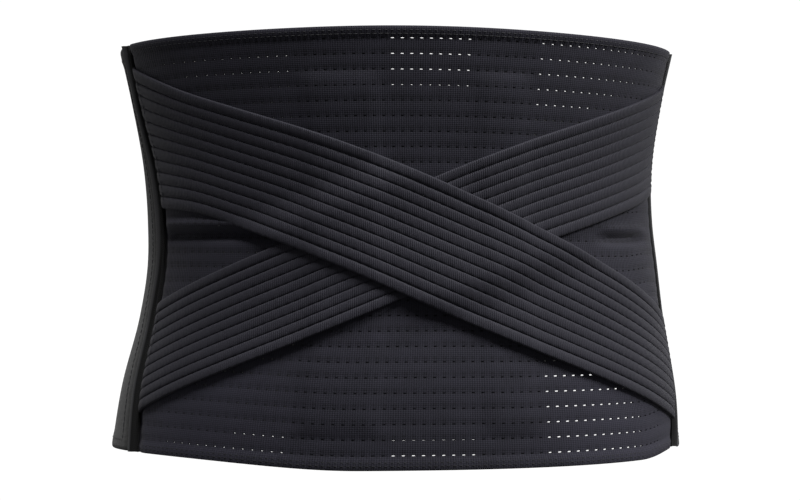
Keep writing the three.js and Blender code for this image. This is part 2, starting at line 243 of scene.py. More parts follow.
def ramp(at, low, high):
    """0 below low, 1 above high, and a smooth step between."""
    t = np.clip((at - low) / (high - low), 0.0, 1.0)
    return t * t * (3 - 2 * t)


def window(at, low, high, soft):
    """1 between low and high, falling smoothly to 0 outside them."""
    return ramp(at, low - soft, low + soft) * (1 - ramp(at, high - soft, high + soft))


def bump(at, middle, reach):
    """1 at the middle, falling smoothly to 0 at the reach on both sides."""
    away = np.clip((at - middle) / reach, -1.0, 1.0)
    return np.cos(away * np.pi / 2) ** 2


def mix(low, high, share):
    """A value between two others, at a share of the way."""
    return low + (high - low) * share


def skin(turn, height, lift):
    """Points of the body form, lifted outwards, in metres."""
    angle = np.radians(turn)
    half_width = smooth(SECTIONS, 1, height) + lift
    half_depth = smooth(SECTIONS, 2, height) + lift
    across = np.abs(np.sin(angle) / half_width) ** SQUARENESS
    deep = np.abs(np.cos(angle) / half_depth) ** SQUARENESS
    radius = (across + deep) ** (-1 / SQUARENESS)
    x = radius * np.sin(angle) + smooth(SECTIONS, 3, height) + AXIS[0]
    y = -radius * np.cos(angle) + AXIS[1]
    return np.stack(np.broadcast_arrays(x, y, height), axis=-1) * MM


def top_hem(turn):
    """Height of the upper hem, which falls towards the sides."""
    return HEIGHT - TOP_FALL * np.sin(np.radians(turn)) ** 2


def bottom_hem(turn):
    """Height of the lower hem, which lifts towards the side seams."""
    return np.max([height * bump(turn, middle, reach) for height, middle, reach in LIFTS], axis=0)


def between_hems(turn, level):
    """Height of a place on the cloth, whose level runs from 0 at the lower hem to the full height."""
    return mix(bottom_hem(turn), top_hem(turn), level / HEIGHT)


def seam_turn(side, level):
    """Turn of the side seam on that side, without its sign."""
    return np.where(np.asarray(side) < 0, smooth(SEAMS, 1, level), smooth(SEAMS, 2, level))


def distance_round(turn, height):
    """Distance along the cloth from the middle of the back, in millimetres, along a grid's columns."""
    points = skin(turn, height, 0.0) / MM
    steps = np.linalg.norm(np.diff(points, axis=0), axis=-1)
    total = np.concatenate([np.zeros((1,) + steps.shape[1:]), np.cumsum(steps, axis=0)])
    middle = np.argmin(np.abs(turn), axis=0)
    return total - np.take_along_axis(total, middle[None], axis=0)


# Meshes

def make_object(name, points, faces, flat, material):
    """Mesh from points in metres, faces and each point's place on the flat cloth in millimetres."""
    mesh = bpy.data.meshes.new(name)
    mesh.from_pydata(points.tolist(), [], faces)
    loops = np.empty(len(mesh.loops), dtype=np.int32)
    mesh.loops.foreach_get("vertex_index", loops)
    mesh.uv_layers.new(name="cloth").data.foreach_set("uv", flat[loops].astype(np.float32).ravel())
    mesh.polygons.foreach_set("use_smooth", np.ones(len(mesh.polygons), dtype=bool))
    mesh.set_sharp_from_angle(angle=math.radians(CRISP_ANGLE))
    mesh.materials.append(material)
    made = bpy.data.objects.new(name, mesh)
    bpy.context.scene.collection.objects.link(made)
    return made


def quads_of(*corners):
    """Quads from four arrays of corners."""
    return np.stack(corners, axis=-1).reshape(-1, 4)


def grid_quads(index):
    """Quads of a grid of point numbers whose columns run with rising turn and rows run up."""
    return quads_of(index[:-1, :-1], index[1:, :-1], index[1:, 1:], index[:-1, 1:])


def shell(name, turn, height, outer, inner, material, inner_rows=None, flat=None):
    """Closed wall over a grid of turns and heights; its inner face may have only some of the rows."""
    keep = np.arange(turn.shape[1]) if inner_rows is None else inner_rows
    inner = np.broadcast_to(inner, turn.shape)
    if flat is None:
        flat = np.stack([distance_round(turn, height), height], axis=-1)
    outside = skin(turn, height, outer)
    inside = skin(turn[:, keep], height[:, keep], inner[:, keep])
    points = np.concatenate([outside.reshape(-1, 3), inside.reshape(-1, 3)])
    flats = np.concatenate([flat.reshape(-1, 2), flat[:, keep].reshape(-1, 2)])
    face = np.arange(turn.size).reshape(turn.shape)
    back = turn.size + np.arange(len(turn) * len(keep)).reshape(-1, len(keep))
    quads = np.concatenate([
        grid_quads(face),
        grid_quads(back)[:, ::-1],
        quads_of(face[:-1, 0], back[:-1, 0], back[1:, 0], face[1:, 0]),
        quads_of(face[1:, -1], back[1:, -1], back[:-1, -1], face[:-1, -1]),
    ])
    start = face[0].tolist() + back[0][::-1].tolist()
    end = face[-1][::-1].tolist() + back[-1].tolist()
    return make_object(name, points, quads.tolist() + [start, end], flats, material)


def edged(count, edge_steps, edge_share):
    """Shares from 0 to 1 with close steps near both ends, for rounded edges."""
    near = edge_share * (1 - np.cos(np.linspace(0, np.pi / 2, edge_steps + 1)))
    middle = np.linspace(edge_share, 1 - edge_share, count)
    return np.concatenate([near[:-1], middle, (1 - near[:-1])[::-1]])


def rounded(share, edge_share):
    """1 away from the ends of a 0 to 1 share, falling as a quarter circle to 0 at both ends."""
    into = np.clip(1 - np.minimum(share, 1 - share) / edge_share, 0, 1)
    return np.sqrt(np.clip(1 - into ** 2, 0, 1))


# Back panel

class ColumnTurns:
    """Turn of a place on the panel, by its column counted from the middle of the back and its level."""

    LEVELS = np.linspace(0.0, HEIGHT, 61)
    SHARES = np.linspace(0.0, 1.2, 121)
    TURNS = np.linspace(0.0, 86.0, 345)

    def __init__(self):
        turns, levels = np.meshgrid(self.TURNS, self.LEVELS, indexing="ij")
        rows = []
        for lengths in distance_round(turns, levels).T:
            full = np.interp(EVEN_TURN, self.TURNS, lengths)
            rows.append(np.interp(self.SHARES * full, lengths, self.TURNS))
        self.table = np.array(rows)

    def even(self, share, level):
        """Turn at a share of the even columns' length along the cloth."""
        up = np.clip(level / HEIGHT, 0, 1) * (len(self.LEVELS) - 1)
        along = np.clip(np.abs(share) / self.SHARES[-1], 0, 1) * (len(self.SHARES) - 1)
        low = np.minimum(up.astype(int), len(self.LEVELS) - 2)
        near = np.minimum(along.astype(int), len(self.SHARES) - 2)
        below = mix(self.table[low, near], self.table[low, near + 1], along - near)
        above = mix(self.table[low + 1, near], self.table[low + 1, near + 1], along - near)
        return np.sign(share) * mix(below, above, up - low)

    def stretched(self, column, level):
        """Turn of a column before the seams pull it; the columns grow wider towards the right."""
        share = column / COLUMNS_LEFT
        return self.even(share + STRETCH * np.maximum(share - STRETCH_FROM, 0), level)

    def __call__(self, column, level):
        last = np.where(column < 0, -COLUMNS_LEFT, COLUMNS_RIGHT)
        seam = np.sign(last) * (seam_turn(last, level) + PANEL_UNDER)
        pull = ramp(column / last, SEAM_PULL_FROM, 1.0)
        return self.stretched(column, level) + (seam - self.stretched(last + 0 * column, level)) * pull


column_turn = ColumnTurns()


def stay_swell(turn, height):
    """The panel stands out a little over the two flat stays behind it."""
    across = sum(window(turn, low, high, STAY_SOFT) for low, high in STAYS)
    return STAY_RISE * across * window(height, STAY_LOW, STAY_HIGH, STAY_END)


def seam_tuck(turn, level):
    """The cloth draws in beside the side seams."""
    to_seam = (seam_turn(turn, level) - np.abs(turn)) * MM_PER_DEGREE
    return SEAM_TUCK * (1 - np.clip(to_seam / SEAM_TUCK_REACH, 0, 1)) ** 2


def panel_relief(turn, height, level):
    """Outward relief of the panel: folded hems, waist creases, stays, and the tuck at the side seams."""
    to_edge = np.minimum(level, HEIGHT - level)
    relief = HEM_PROUD * (1 - ramp(to_edge, HEM_FROM, HEM_TO)) + stay_swell(turn, height)
    for side, middle, depth, reach, ridge, start, full, fade, end in CREASES:
        fold = ridge * bump(height, middle + reach, reach) - depth * bump(height, middle, reach)
        relief = relief + fold * ramp(side * turn, start, full) * (1 - ramp(side * turn, fade, end))
    return relief - seam_tuck(turn, level)


def panel_points(column, level, lift):
    """Points of the panel at some columns and levels, lifted off its relief."""
    turn = column_turn(column, level)
    height = between_hems(turn, level)
    return skin(turn, height, lift + panel_relief(turn, height, level))


def panel_flat(column, level):
    """Places on the flat panel."""
    return np.stack([column * HOLE_PITCH, level - FIELD_LOW], axis=-1).reshape(-1, 2)


def cell_border(step):
    """Grid steps round one cell's border, against the clock from its lower left corner."""
    low = [(k, 0) for k in range(step)]
    right = [(step, k) for k in range(step)]
    high = [(step - k, step) for k in range(step)]
    left = [(0, step - k) for k in range(step)]
    return low + right + high + left


def hole_ring(count):
    """Places round one pinhole from its lower left, as shares of the cell's size from its middle."""
    angles = np.radians(-135 + 360 / count * np.arange(count))

    def squarer(value):
        return np.sign(value) * np.abs(value) ** HOLE_ROUNDNESS

    return HOLE_WIDTH * squarer(np.cos(angles)), HOLE_HEIGHT * squarer(np.sin(angles))


def hole_opening(turn, level):
    """Size of a pinhole against the usual one; in some places the cloth is drawn in or stretched."""
    size = np.ones_like(turn)
    for left, right, low, high, change in HOLE_CHANGES:
        across = window(turn, left, right, CHANGE_TURNS)
        size += change * across * window(level, low, high, CHANGE_LEVELS)
    return size


def pinholes(column, level):
    """Columns and levels of the rings round the pinholes, from the middles of their cells."""
    across, upward = hole_ring(len(cell_border(CELL_SIDES)))
    size = hole_opening(column_turn(column, level), level)
    return column + size * across, level + size * upward * ROW_PITCH


def is_pierced(column, level):
    """Whether a cell has its pinhole; some at the seams, in the creases and in the top row have none."""
    pierced = (column > PLAIN_LEFT - COLUMNS_LEFT) & (column < COLUMNS_RIGHT - PLAIN_RIGHT)
    turn = column_turn(column, level)
    pierced &= (level < FIELD_HIGH - ROW_PITCH) | (turn > TOP_ROW_FROM)
    height = between_hems(turn, level)
    for side, middle, depth, reach, ridge, start, full, fade, end in CREASES:
        pierced &= (np.abs(height - middle - reach / 2) > CREASE_PLAIN) | (side * turn < start)
    return pierced


def panel_grid():
    """Columns and levels of the panel's grid lines."""
    columns = np.arange(-COLUMNS_LEFT * CELL_SIDES, COLUMNS_RIGHT * CELL_SIDES + 1) / CELL_SIDES
    field = np.linspace(FIELD_LOW, FIELD_HIGH, HOLE_ROWS * CELL_SIDES + 1)
    hem = np.array(HEM_LEVELS)
    return columns, np.concatenate([hem, field, HEIGHT - hem[:UPPER_HEM_LEVELS][::-1]])


def panel_faces(column, level):
    """Points of the panel's outer and inner face, with rounded hems."""
    to_edge = np.minimum(level, HEIGHT - level)
    edge = HEM_SINK * (1 - np.sqrt(1 - np.clip(1 - to_edge / HEM_ROUND, 0, 1) ** 2))
    in_field = (level >= FIELD_LOW) & (level <= FIELD_HIGH)
    band = BAND_RISE * np.cos((level - FIELD_LOW) / ROW_PITCH * 2 * np.pi) * in_field
    return panel_points(column, level, band - edge), panel_points(column, level, edge - PANEL_THICKNESS)


def pierced_quads(index, at_column, at_row):
    """Quads of the cells with a pinhole: on the outer face, on the inner face and through the panel."""
    border = np.stack([index[at_column + c, at_row + r] for c, r in cell_border(CELL_SIDES)], axis=-1)
    behind, through = index.size, border.size
    ring = 2 * behind + np.arange(through).reshape(border.shape)
    next_border, next_ring = np.roll(border, -1, axis=1), np.roll(ring, -1, axis=1)
    return [
        quads_of(border, next_border, next_ring, ring),
        quads_of(ring + through, next_ring + through, next_border + behind, border + behind),
        quads_of(ring, next_ring, next_ring + through, ring + through),
    ]


def plain_quads(index, at_column, at_row):
    """Quads of both faces in the hems and in the cells without a pinhole, and of the panel's rim."""
    first = len(HEM_LEVELS)
    last = first + HOLE_ROWS * CELL_SIDES
    plain = [grid_quads(index[:, :first + 1]), grid_quads(index[:, last:])]
    for c, r in np.ndindex(CELL_SIDES, CELL_SIDES):
        corners = [index[at_column + c + right, at_row + r + up] for right, up in cell_border(1)]
        plain.append(quads_of(*corners))
    behind = index.size
    quads = []
    for patch in plain:
        quads += [patch, (patch + behind)[:, ::-1]]
    rim = np.concatenate([index[:, 0], index[-1, 1:], index[-2::-1, -1], index[0, -2:0:-1]])
    after = np.roll(rim, -1)
    return quads + [quads_of(rim, rim + behind, after + behind, after)]


def perforated_panel(material):
    """Elastic panel with an open pinhole in the middle of most cells of a grid."""
    columns, levels = panel_grid()
    column, level = np.meshgrid(columns, levels, indexing="ij")
    index = np.arange(column.size).reshape(column.shape)
    across = np.arange(COLUMNS_LEFT + COLUMNS_RIGHT) * CELL_SIDES
    upward = np.arange(HOLE_ROWS) * CELL_SIDES + len(HEM_LEVELS)
    at_column, at_row = np.meshgrid(across, upward, indexing="ij")
    middle_column, middle_level = columns[at_column] + 0.5, levels[at_row] + ROW_PITCH / 2
    pierced = is_pierced(middle_column, middle_level)
    hole_column, hole_level = pinholes(middle_column[pierced][:, None], middle_level[pierced][:, None])

    ring_outer = panel_points(hole_column, hole_level, -HOLE_SINK_OUTER)
    ring_inner = panel_points(hole_column, hole_level, HOLE_SINK_INNER - PANEL_THICKNESS)
    layers = (*panel_faces(column, level), ring_outer, ring_inner)
    points = np.concatenate([layer.reshape(-1, 3) for layer in layers])
    grid_flat, ring_flat = panel_flat(column, level), panel_flat(hole_column, hole_level)
    flats = np.concatenate([grid_flat, grid_flat, ring_flat, ring_flat])

    with_holes = pierced_quads(index, at_column[pierced], at_row[pierced])
    quads = np.concatenate(with_holes + plain_quads(index, at_column[~pierced], at_row[~pierced]))
    used, compact = np.unique(quads, return_inverse=True)
    faces = compact.reshape(-1, 4).tolist()
    return make_object("perforated_panel", points[used], faces, flats[used], material)


# Crossed straps

def strap_height(edges, turn, row):
    """Height across a strap, from its lower edge at row 0 to its upper edge at row 1."""
    return mix(smooth(edges, 1, turn), smooth(edges, 2, turn), row)


def strap_turn(edges, share, row):
    """Turn at a share from -1 at the left seam to 1 at the right one."""
    near_seam = strap_height(edges, share * seam_turn(share, HEIGHT / 2), row)
    return share * (seam_turn(share, near_seam) - STRAP_INSET)


def rib_rows(ribs):
    """Rows across a strap: each one's share of the width, place in its rib and nearest groove."""
    places = np.append((np.arange(ribs)[:, None] + np.array(RIB_SAMPLES)[None]).ravel(), ribs)
    return places / ribs, places % 1, np.round(places)


def strap(name, edges, width, ribs, loose, material, over=False):
    """Ribbed elastic strap from seam to seam; the upper one climbs over the other where they cross."""
    rows, phase, groove = rib_rows(ribs)
    share, row = np.meshgrid(np.linspace(-1, 1, STRAP_COLUMNS), rows, indexing="ij")
    turn = strap_turn(edges, share, row)
    height = strap_height(edges, turn, row)
    along = distance_round(turn, height)
    crest = np.abs(np.sin(np.pi * phase))
    in_groove = (1 - crest) ** 2
    pits = 0.5 + 0.5 * np.cos(2 * np.pi * (along / PIT_PITCH + groove / 2))
    edge_groove = EDGE_GROOVE * np.isin(groove, (1, ribs - 1))
    rib = crest ** RIB_FULLNESS - in_groove * (PIT_DEPTH * pits + edge_groove)
    rib = mix(rib, FADE_RISE, FADE * ramp(turn, FADE_FROM, FADE_TO) * (crest > 0))
    base = STRAP_GAP + stay_swell(turn, height) - seam_tuck(turn, height)
    base = base + LOOSE_EDGE * (1 - row) ** 3 * bump(turn, *loose)
    if over:
        below = strap_height(UNDER_EDGES, turn, 0) - height
        above = height - strap_height(UNDER_EDGES, turn, 1)
        beyond = np.maximum(below, above)
        base = base + (STRAP_CREST + STRAP_GAP) * (1 - ramp(beyond, TENT_NEAR, TENT_FAR))
    outer = base + STRAP_GROOVE + (STRAP_CREST - STRAP_GROOVE) * rib
    flat = np.stack([along, row * width], axis=-1)
    inner_rows = np.arange(0, len(rows), len(RIB_SAMPLES))
    return shell(name, turn, height, outer, base, material, inner_rows, flat)


# Piping, wings and inner pieces

def seam_piping(name, side, material):
    """Narrow roll down a side seam, with a sunk fold between it and the panel."""
    beside = np.linspace(PIPING_FROM, PIPING_TO, PIPING_COLUMNS)
    beside, row = np.meshgrid(np.sort(side * beside), np.linspace(0, 1, PIPING_ROWS), indexing="ij")
    turn = side * seam_turn(side, row * HEIGHT) + beside
    across = (np.abs(beside) - PIPING_FROM) / (PIPING_TO - PIPING_FROM)
    roll = np.clip((across - FOLD_SHARE) / (1 - FOLD_SHARE), 0, 1)
    outer = PIPING_LOW + PIPING_CROWN * np.sqrt(np.clip(1 - (2 * roll - 1) ** 2, 0, 1))
    outer = outer - FOLD_SINK * (1 - ramp(across, 0, FOLD_SHARE)) * (across > 0)
    flat = np.stack([across * PIPING_WIDTH, row * HEIGHT], axis=-1)
    return shell(name, turn, between_hems(turn, row * HEIGHT), outer, -PIPING_DEPTH, material, flat=flat)


def corner_draw(turn):
    """How far a wing's edge draws in near the wing's rounded end."""
    from_end = np.radians(WING_END - np.abs(turn)) * CORNER_SPREAD
    into = np.clip(CORNER_RADIUS - from_end, 0, CORNER_RADIUS)
    return CORNER_RADIUS - np.sqrt(CORNER_RADIUS ** 2 - into ** 2)


def wing_top(side, turn):
    """Height of a wing's upper edge."""
    height, start, end = WING_TOPS[side]
    return mix(HEIGHT - TOP_FALL, height, ramp(np.abs(turn), start, end)) - corner_draw(turn)


def wing_bottom(side, turn):
    """Height of a wing's lower edge."""
    rise, start, end = WING_BOTTOMS[side]
    return bottom_hem(turn) + rise * ramp(np.abs(turn), start, end) + corner_draw(turn)


def wing_sink(side, turn):
    """The right wing goes under the left one at the front."""
    return SINK * ramp(side * turn, SINK_FROM, SINK_TO) * (side == RIGHT)


def wing_place(side, share, row):
    """Turn and height at a share round the wing from its seam and a row from its lower edge."""
    start = seam_turn(side, row * HEIGHT) + WING_UNDER
    turn = side * mix(start, WING_END, share)
    return turn, mix(wing_bottom(side, turn), wing_top(side, turn), row)


def wing_shares():
    """Shares round a wing, with close steps beside its seam and at its rounded end."""
    near_lines, wide_lines, corner_lines = WING_LINES
    near = np.linspace(0, WING_WIDE, near_lines)[:-1]
    wide = np.linspace(WING_WIDE, WING_CORNER, wide_lines)[:-1]
    corner = mix(WING_CORNER, 1, np.sin(np.linspace(0, np.pi / 2, corner_lines)))
    return np.concatenate([near, wide, corner])


def wing(name, side, material):
    """Brushed wing from a side seam round to the front, with a folded hem and rounded edges."""
    share = wing_shares() if side == RIGHT else wing_shares()[::-1]
    share, row = np.meshgrid(share, edged(*WING_UP_GRID), indexing="ij")
    turn, height = wing_place(side, share, row)
    tall = wing_top(side, turn) - wing_bottom(side, turn)
    to_end = (WING_END - np.abs(turn)) * MM_PER_DEGREE
    to_edge = np.minimum(np.minimum(row, 1 - row) * tall, to_end)
    hem = WING_HEM_PROUD * (1 - ramp(to_edge, WING_HEM - WING_HEM_STEP, WING_HEM))
    from_seam = np.abs(turn) - seam_turn(side, row * HEIGHT)
    tuck = WING_TUCK * (1 - ramp(from_seam, WING_TUCK_FROM, WING_TUCK_TO))
    middle = WING_PROUD - WING_THICKNESS / 2 - wing_sink(side, turn) - tuck
    half = np.maximum(rounded(row, WING_ROUND_UP) * rounded(share, WING_ROUND_END), WING_EDGE)
    half = WING_THICKNESS / 2 * half
    return shell(name, turn, height, middle + half + hem - WING_HEM_PROUD, middle - half, material)


def closure_patch(name, material):
    """Plain patch between the two wings at the front."""
    share, row = np.meshgrid(edged(*PATCH_GRID), edged(*PATCH_GRID), indexing="ij")
    turn = mix(180 - PATCH_TURN, 180 + PATCH_TURN, share)
    return shell(name, turn, mix(PATCH_LOW, PATCH_HIGH, row), PATCH_OUTER, PATCH_INNER, material)


def stay_pocket(name, side, material):
    """Upright pocket whose inner face swells over its flat stay between two sewn flanges."""
    share, row = np.meshgrid(edged(*POCKET_ACROSS_GRID), edged(*POCKET_UP_GRID), indexing="ij")
    inner = mix(POCKET_FLANGE, POCKET_INNER, window(share, *POCKET_ACROSS) * window(row, *POCKET_UP))
    turn = mix(*POCKETS[side], share)
    return shell(name, turn, mix(POCKET_LOW, POCKET_HIGH, row), POCKET_OUTER, inner, material)


def lumbar_pad(name, material):
    """Crowned pad over the spine with a thin edge."""
    share, row = np.meshgrid(edged(*PAD_ACROSS_GRID), edged(*PAD_UP_GRID), indexing="ij")
    inner = mix(PAD_EDGE, PAD_INNER, np.sqrt(rounded(share, PAD_ACROSS) * rounded(row, PAD_UP)))
    turn = mix(PAD_FROM, PAD_TO, share)
    return shell(name, turn, mix(PAD_LOW, PAD_HIGH, row), PAD_OUTER, inner, material)


# Sewing

def unit(vectors):
    """Vectors of the same ways, with a length of one."""
    return vectors / np.linalg.norm(vectors, axis=-1, keepdims=True)


def seam_path(turn, height, lift, inside=False):
    """Points of a line of sewing, and the way that its thread stands off the cloth."""
    points = skin(turn, height, lift)
    outward = unit(skin(turn, height, np.asarray(lift) + 1.0) - points)
    return points, -outward if inside else outward


def stitches_on(points, outward):
    """Centre lines of the stitches along a line of sewing, and the way up from the cloth."""
    steps = np.linalg.norm(np.diff(points, axis=0), axis=-1) / MM
    length = np.append(0, np.cumsum(steps))
    starts = np.arange(STITCH_PITCH / 2, length[-1] - STITCH_PITCH, STITCH_PITCH)
    places = starts[:, None] + np.linspace(0, STITCH_LENGTH, len(STITCH_RISE))[None]

    def read(values):
        return np.stack([np.interp(places, length, values[:, k]) for k in range(3)], axis=-1)

    up = read(outward)
    return read(points) + up * np.array(STITCH_RISE)[:, None] * MM, up


def sewing(name, paths, material):
    """All the stitches of some lines of sewing, as short threads in one mesh."""
    lines = [stitches_on(points, outward) for points, outward in paths]
    centre = np.concatenate([line for line, up in lines])
    up = np.concatenate([up for line, up in lines])
    ahead = unit(np.gradient(centre, axis=1))
    aside = unit(np.cross(ahead, up))
    over = np.cross(aside, ahead)
    angles = np.arange(THREAD_SIDES) / THREAD_SIDES * 2 * np.pi
    ring = np.cos(angles)[:, None] * aside[..., None, :] + np.sin(angles)[:, None] * over[..., None, :]
    points = centre[..., None, :] + THREAD * MM * ring
    index = np.arange(points.size // 3).reshape(points.shape[:3])
    beside = np.roll(index, -1, axis=2)
    sides = quads_of(index[:, :-1], index[:, 1:], beside[:, 1:], beside[:, :-1])
    caps = index[:, 0].tolist() + index[:, -1, ::-1].tolist()
    flat = np.zeros((points.size // 3, 2))
    flat[:, 0] = np.arange(len(flat)) % (THREAD_SIDES * len(STITCH_RISE))
    return make_object(name, points.reshape(-1, 3), sides.tolist() + caps, flat, material)


def panel_sewing(material):
    """Two lines of stitches along each hem of the panel."""
    share = np.linspace(-HEM_LINE_END, HEM_LINE_END, HEM_POINTS)
    paths = []
    for level in HEM_LINES:
        turn = share * seam_turn(share, level)
        height = between_hems(turn, level)
        paths.append(seam_path(turn, height, panel_relief(turn, height, level)))
    return sewing("panel_stitching", paths, material)


def wing_sewing(name, side, material):
    """Stitches beside the seam and round the folded hem of a wing."""
    row = np.linspace(0, 1, WING_SIDE_POINTS)
    turn, height = wing_place(side, WING_SEAM_LINE + 0 * row, mix(*WING_SEAM_ENDS, row))
    paths = [seam_path(turn, height, WING_PROUD)]
    share = np.linspace(*WING_HEM_ENDS, WING_HEM_POINTS)
    for edge, inward in ((0, WING_LINE_INSET), (1, -WING_LINE_INSET)):
        turn, height = wing_place(side, share, edge + 0 * share)
        paths.append(seam_path(turn, height + inward, WING_PROUD - wing_sink(side, turn)))
    front = 1 - WING_LINE_INSET / MM_PER_DEGREE / (WING_END - EVEN_TURN)
    turn, height = wing_place(side, front + 0 * row, mix(*WING_FRONT_ENDS, row))
    paths.append(seam_path(turn, height, WING_PROUD - wing_sink(side, turn)))
    return sewing(name, paths, material)


def strap_sewing(material):
    """Two lines of stitches across each end of both straps."""
    paths = []
    row = np.linspace(*STRAP_LINE_ENDS, STRAP_POINTS)
    for edges in (OVER_EDGES, UNDER_EDGES):
        for share in STRAP_LINES:
            turn = strap_turn(edges, share + 0 * row, row)
            height = strap_height(edges, turn, row)
            lift = STRAP_GAP + STRAP_CREST - STRAP_LINE_SINK - seam_tuck(turn, height)
            paths.append(seam_path(turn, height, lift))
    return sewing("strap_stitching", paths, material)


def inner_sewing(material):
    """Stitches along the flanges of both pockets, seen from inside."""
    paths = []
    height = np.linspace(POCKET_LOW + POCKET_LINE_INSET, POCKET_HIGH - POCKET_LINE_INSET, POCKET_POINTS)
    for low, high in POCKETS.values():
        for share in POCKET_LINES:
            turn = mix(low, high, share) + 0 * height
            paths.append(seam_path(turn, height, POCKET_FLANGE, inside=True))
    return sewing("inner_stitching", paths, material)


# Materials

class Nodes:
    """Steps of arithmetic in a node tree."""

    def __init__(self, tree):
        self.nodes, self.links = tree.nodes, tree.links

    def math(self, operation, *values):
        """One step of arithmetic on numbers and node outputs."""
        node = self.nodes.new("ShaderNodeMath")
        node.operation = operation
        for socket, value in zip(node.inputs, values):
            if isinstance(value, (int, float)):
                socket.default_value = value
            else:
                self.links.new(value, socket)
        return node.outputs[0]

    def slope(self, place, low, high, start=0.0):
        """The start value at the low place, 1 at the high one and a smooth step between them."""
        node = self.nodes.new("ShaderNodeMapRange")
        node.interpolation_type = "SMOOTHSTEP"
        node.inputs["From Min"].default_value = low
        node.inputs["From Max"].default_value = high
        node.inputs["To Min"].default_value = start
        self.links.new(place, node.inputs["Value"])
        return node.outputs["Result"]


class Cloth(Nodes):
    """A cloth material whose patterns follow the flat cloth, in millimetres."""

    SPECULAR = 0.12
    SHEEN_ROUGHNESS = 0.5
    RELIEF_STRENGTH = 0.8

    def __init__(self, name, colour, roughness, sheen):
        self.material = bpy.data.materials.new(name)
        self.material.use_nodes = True
        super().__init__(self.material.node_tree)
        self.shader = self.nodes["Principled BSDF"]
        self.shader.inputs["Roughness"].default_value = roughness
        self.shader.inputs["Specular IOR Level"].default_value = self.SPECULAR
        self.shader.inputs["Sheen Weight"].default_value = sheen
        self.shader.inputs["Sheen Roughness"].default_value = self.SHEEN_ROUGHNESS
        self.colour = colour
        flat = self.nodes.new("ShaderNodeUVMap")
        flat.uv_map = "cloth"
        self.flat = flat.outputs["UV"]
        split = self.nodes.new("ShaderNodeSeparateXYZ")
        self.links.new(self.flat, split.inputs[0])
        self.across, self.up = split.outputs["X"], split.outputs["Y"]

    def ripple(self, place, pitch):
        """Wave of 0 to 1 along a coordinate, with its crest at every whole pitch."""
        wave = self.math("COSINE", self.math("MULTIPLY", place, 2 * math.pi / pitch))
        return self.math("MULTIPLY_ADD", wave, 0.5, 0.5)

    def checks(self, pitch):
        """Bumps of 0 to 1 at every whole pitch both ways."""
        return self.math("MULTIPLY", self.ripple(self.across, pitch), self.ripple(self.up, pitch))

    def noise(self, scale, detail, stretch=(1.0, 1.0, 1.0)):
        """Uneven patches of 0 to 1 over the flat cloth."""
        place = self.nodes.new("ShaderNodeMapping")
        place.inputs["Scale"].default_value = stretch
        self.links.new(self.flat, place.inputs["Vector"])
        node = self.nodes.new("ShaderNodeTexNoise")
        node.inputs["Scale"].default_value = scale
        node.inputs["Detail"].default_value = detail
        self.links.new(place.outputs[0], node.inputs["Vector"])
        return node.outputs["Fac"]

    def blend(self, first, second, share):
        """A share of the second value mixed into the first."""
        rest = self.math("MULTIPLY", first, 1 - share)
        return self.math("ADD", rest, self.math("MULTIPLY", second, share))

    def tone(self, factor, dark, light):
        """Base colour between a darker and a lighter shade of the cloth's colour."""
        node = self.nodes.new("ShaderNodeMix")
        node.data_type = "RGBA"
        node.inputs["A"].default_value = (*[dark * c for c in self.colour], 1)
        node.inputs["B"].default_value = (*[light * c for c in self.colour], 1)
        self.links.new(factor, node.inputs["Factor"])
        self.links.new(node.outputs["Result"], self.shader.inputs["Base Color"])

    def relief(self, height, distance):
        """Fine relief of the threads, so many millimetres deep."""
        node = self.nodes.new("ShaderNodeBump")
        node.inputs["Strength"].default_value = self.RELIEF_STRENGTH
        node.inputs["Distance"].default_value = distance * MM
        self.links.new(height, node.inputs["Height"])
        self.links.new(node.outputs["Normal"], self.shader.inputs["Normal"])


def knitted_mesh():
    """Elastic knit with upright wales and dark lines along the rows of pinholes, with painted shade
    round and above each pinhole and painted light towards the lower sides.
    """
    cloth = Cloth("perforated elastic", colour=(0.0130, 0.0125, 0.0185), roughness=0.75, sheen=0.02)
    wales = cloth.ripple(cloth.across, HOLE_PITCH / WALES)
    courses = cloth.ripple(cloth.up, ROW_PITCH / COURSES)
    patches = cloth.noise(scale=0.06, detail=4.0, stretch=(1.0, 2.0, 1.0))
    # Painted shade: dashes above the pinholes, and a dark place round each pinhole
    above_holes = cloth.math("SUBTRACT", cloth.up, ROW_PITCH * DASH_PLACE)
    dash_row = cloth.math("POWER", cloth.ripple(above_holes, ROW_PITCH), DASH_SHARPNESS)
    hole_column = cloth.ripple(cloth.math("ADD", cloth.across, HOLE_PITCH / 2), HOLE_PITCH)
    painted_dash_shade = cloth.math("MULTIPLY", dash_row, hole_column)
    at_holes = cloth.math("SUBTRACT", cloth.up, ROW_PITCH / 2)
    hole_row = cloth.math("POWER", cloth.ripple(at_holes, ROW_PITCH), ROW_SHARPNESS)
    painted_hole_shade = cloth.math("MULTIPLY", hole_row, cloth.math("POWER", hole_column, HALO_SHARPNESS))
    # Painted light: the knit grows lighter towards the lower sides
    to_side = cloth.slope(cloth.math("ABSOLUTE", cloth.across), *PAINTED_LIGHT_ACROSS)
    painted_light_low_sides = cloth.math("MULTIPLY", to_side, cloth.slope(cloth.up, *PAINTED_LIGHT_UP))
    threads = cloth.blend(wales, patches, share=0.6)
    # The row lines, painted shade and painted light change the tone of the threads
    rows_painted_shade_and_light = ((painted_dash_shade, PAINTED_DASH_SHADE_TONE), (hole_row, ROW_TONE), (painted_light_low_sides, PAINTED_LIGHT_TONE), (painted_hole_shade, PAINTED_HOLE_SHADE_TONE))
    for pattern, tone in rows_painted_shade_and_light:
        threads = cloth.math("MULTIPLY_ADD", pattern, tone, threads)
    cloth.tone(threads, dark=0.45, light=1.5)
    cloth.relief(cloth.blend(courses, wales, share=0.75), distance=0.2)
    return cloth.material


